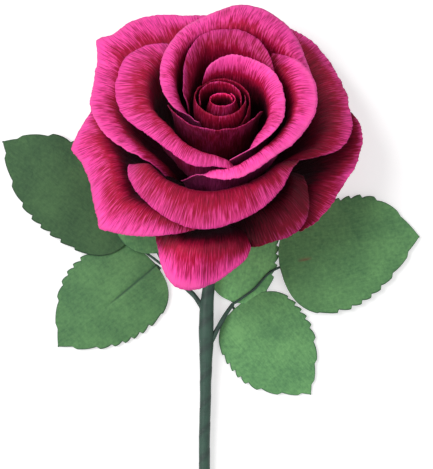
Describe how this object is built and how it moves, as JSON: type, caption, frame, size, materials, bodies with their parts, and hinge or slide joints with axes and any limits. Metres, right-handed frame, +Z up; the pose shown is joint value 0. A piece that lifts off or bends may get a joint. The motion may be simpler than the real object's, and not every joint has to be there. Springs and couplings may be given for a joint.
{
  "type": "crepe paper rose",
  "caption": "Full-blown crepe paper rose lying on its back, with a tape-wrapped wire stem and two sprays of serrated paper leaves, for a vase or bouquet.",
  "frame": {"origin": "middle of the underside of the whole rose's box, on the surface that it lies on", "axes": "+Y from the stem's cut end to the bloom, +Z up from the surface, +X to the right as the bloom is looked down on"},
  "size_m": [0.167, 0.273, 0.0678],
  "materials": {
    "petal_paper": "stretched crepe paper, fine ridges from base to rim, soft satin",
    "leaf_paper": "mottled matte green paper with cut edges",
    "floral_tape": "wound waxed crepe tape, dull",
    "steel_wire": "plain drawn wire",
    "core_paper": "pressed paper pulp"
  },
  "bodies": {
    "root": {"bud_roll": "petal_paper", "bud_petal_back": "petal_paper", "bud_petal_front": "petal_paper", "bud_petal_outer": "petal_paper", "inner_petal_front": "petal_paper", "inner_petal_right": "petal_paper", "inner_petal_top": "petal_paper", "middle_petal_top": "petal_paper", "middle_petal_right": "petal_paper", "middle_petal_left": "petal_paper", "front_petal": "petal_paper", "outer_petal_top_left": "petal_paper", "outer_petal_top_right": "petal_paper", "outer_petal_left": "petal_paper", "outer_petal_bottom": "petal_paper", "outer_petal_right": "petal_paper", "outer_petal_lower_right": "petal_paper", "receptacle": "core_paper", "calyx": "leaf_paper", "stem_wire": "steel_wire", "stem_tape": "floral_tape", "twig_left": "floral_tape", "twig_right": "floral_tape", "leaf_left_tip": "leaf_paper", "leaf_left_lower": "leaf_paper", "leaf_left_hidden": "leaf_paper", "leaf_right_tip": "leaf_paper", "leaf_right_lower": "leaf_paper", "leaf_right_back": "leaf_paper", "leaf_left_tip_wire": "floral_tape", "leaf_left_lower_wire": "floral_tape", "leaf_left_hidden_wire": "floral_tape", "leaf_right_tip_wire": "floral_tape", "leaf_right_lower_wire": "floral_tape", "leaf_right_back_wire": "floral_tape"}
  },
  "joints": []
}
